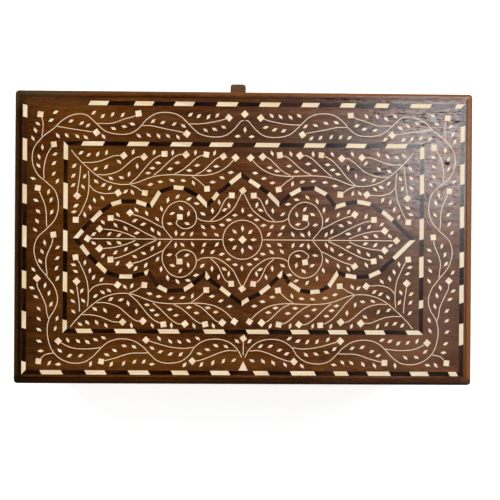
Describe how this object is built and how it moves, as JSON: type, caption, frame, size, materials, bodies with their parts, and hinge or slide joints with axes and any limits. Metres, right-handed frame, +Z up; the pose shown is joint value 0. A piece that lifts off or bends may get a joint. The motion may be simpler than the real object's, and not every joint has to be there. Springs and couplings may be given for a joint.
{
  "type": "inlaid box",
  "caption": "Low rectangular wooden box with a hinged lid inlaid with bone and ebony: vine border, lobed cartouche and small medallion, moulded edge and thumb tab.",
  "frame": {"origin": "centre of the underside, on the ground", "axes": "+Z up, -Y towards the front with the thumb tab, +X to the right seen from the front"},
  "size_m": [0.4, 0.2623, 0.1263],
  "materials": {
    "case_wood": "waxed",
    "lid_wood": "waxed",
    "moulding_wood": "waxed",
    "plinth_wood": "waxed",
    "lining_wood": "matte",
    "tab_wood": "waxed",
    "repair_wood": "waxed",
    "bone": "satin",
    "bone_line": "satin",
    "ebony": "polished",
    "hinge_brass": "aged",
    "pin_steel": "dull",
    "screw_brass": "aged",
    "nail_iron": "dull"
  },
  "bodies": {
    "case": {"bottom_board": "case_wood", "case_front_wall": "case_wood", "case_back_wall": "case_wood", "case_left_wall": "case_wood", "case_right_wall": "case_wood", "plinth_front": "plinth_wood", "plinth_back": "plinth_wood", "plinth_left": "plinth_wood", "plinth_right": "plinth_wood", "lining_front": "lining_wood", "lining_back": "lining_wood", "lining_left": "lining_wood", "lining_right": "lining_wood", "left_hinge_case_leaf": "hinge_brass", "right_hinge_case_leaf": "hinge_brass", "left_hinge_pin": "pin_steel", "right_hinge_pin": "pin_steel", "case_hinge_screws": "screw_brass", "floor_nails": "nail_iron"},
    "lid": {"lid_rail_front": "case_wood", "lid_rail_back": "case_wood", "lid_rail_left": "case_wood", "lid_rail_right": "case_wood", "lid_board_front": "lid_wood", "lid_board_back": "lid_wood", "lid_moulding_front": "moulding_wood", "lid_moulding_back": "moulding_wood", "lid_moulding_left": "moulding_wood", "lid_moulding_right": "moulding_wood", "thumb_tab": "tab_wood", "left_hinge_lid_leaf": "hinge_brass", "right_hinge_lid_leaf": "hinge_brass", "lid_hinge_screws": "screw_brass", "outer_border_bone": "bone", "outer_border_ebony": "ebony", "outer_border_repair": "repair_wood", "inner_border_bone": "bone", "inner_border_ebony": "ebony", "cartouche_bone": "bone", "cartouche_ebony": "ebony", "border_stems": "bone_line", "border_leaves": "bone", "border_flowers": "bone", "border_triangle": "bone", "corner_stems": "bone_line", "corner_leaves": "bone", "corner_flowers": "bone", "centre_stems": "bone_line", "centre_leaves": "bone", "centre_flowers": "bone", "medallion_ring": "bone_line", "medallion_pieces": "bone"}
  },
  "joints": [
    {"name": "lid_hinge", "type": "hinge", "parent": "case", "child": "lid", "pos_m": [0, 0.12, 0.09515], "axis": [-1, 0, 0], "range_deg": [0, 100]}
  ]
}
